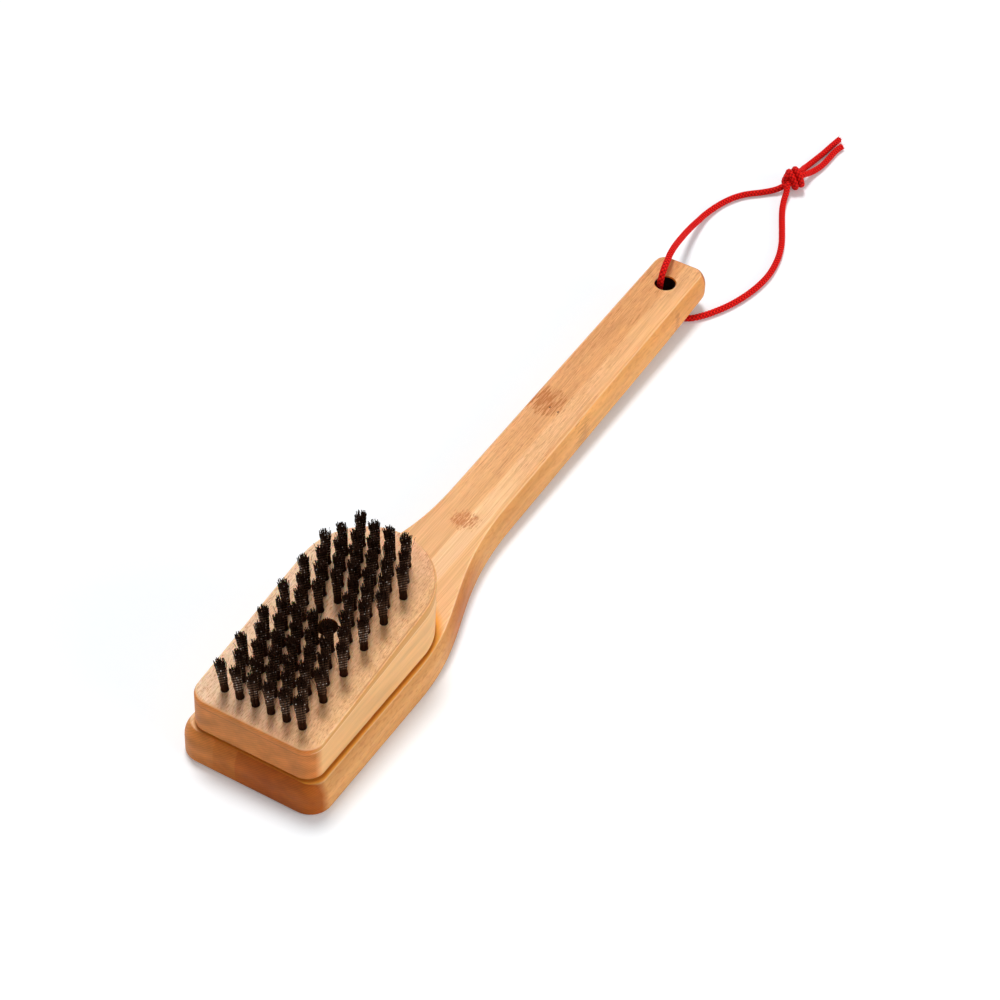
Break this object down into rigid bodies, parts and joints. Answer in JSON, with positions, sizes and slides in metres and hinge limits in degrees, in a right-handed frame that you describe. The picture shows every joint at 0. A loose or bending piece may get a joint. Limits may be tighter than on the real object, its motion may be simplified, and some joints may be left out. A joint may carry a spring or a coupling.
{
  "type": "grill brush",
  "caption": "Bamboo grill brush: a paddle and grip in one board, a screwed-on wedge block of staggered black wire tufts, and a knotted red hanging cord.",
  "frame": {"origin": "under the middle of the brush's length, on the plane of the paddle's back", "axes": "+X along the brush from the head to the grip end, +Y across it, +Z out of the paddle towards the bristles"},
  "size_m": [0.4346, 0.0564, 0.0532],
  "materials": {
    "board": "oiled bamboo, satin",
    "block": "sanded bamboo, satin",
    "wire": "black oxide, crimped",
    "screw": "black phosphate",
    "cord": "braided, matt"
  },
  "bodies": {
    "root": {"handle": "board", "brush_block": "block", "bristles_front": "wire", "bristles_left": "wire", "bristles_right": "wire", "bristles_rear": "wire", "head_screw": "screw", "hanging_cord": "cord", "cord_knot": "cord", "cord_tail_long": "cord", "cord_tail_short": "cord"}
  },
  "joints": []
}
